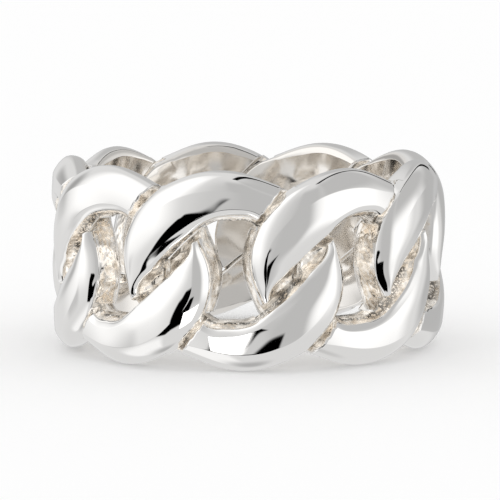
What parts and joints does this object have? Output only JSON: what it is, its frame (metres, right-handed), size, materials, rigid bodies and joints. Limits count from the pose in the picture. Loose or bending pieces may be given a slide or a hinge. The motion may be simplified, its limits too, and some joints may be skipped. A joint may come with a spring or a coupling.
{
  "type": "chain link ring",
  "caption": "Rigid finger ring made of broad, flattened curb chain links that pass through one another and close into a band, polished silver with rough cast recesses.",
  "frame": {"origin": "centre of the finger opening, half way between the two rims", "axes": "+Z along the finger opening's axis and up as the ring lies on one rim; link_1 is centred on -Y and the numbers run counter-clockwise seen from +Z"},
  "size_m": [0.0212, 0.0211, 0.0102],
  "materials": {
    "silver": "polished silver, matt as cast in the recesses"
  },
  "bodies": {
    "root": {"link_1": "silver", "link_2": "silver", "link_3": "silver", "link_4": "silver", "link_5": "silver", "link_6": "silver", "link_7": "silver", "link_8": "silver", "link_9": "silver"}
  },
  "joints": []
}
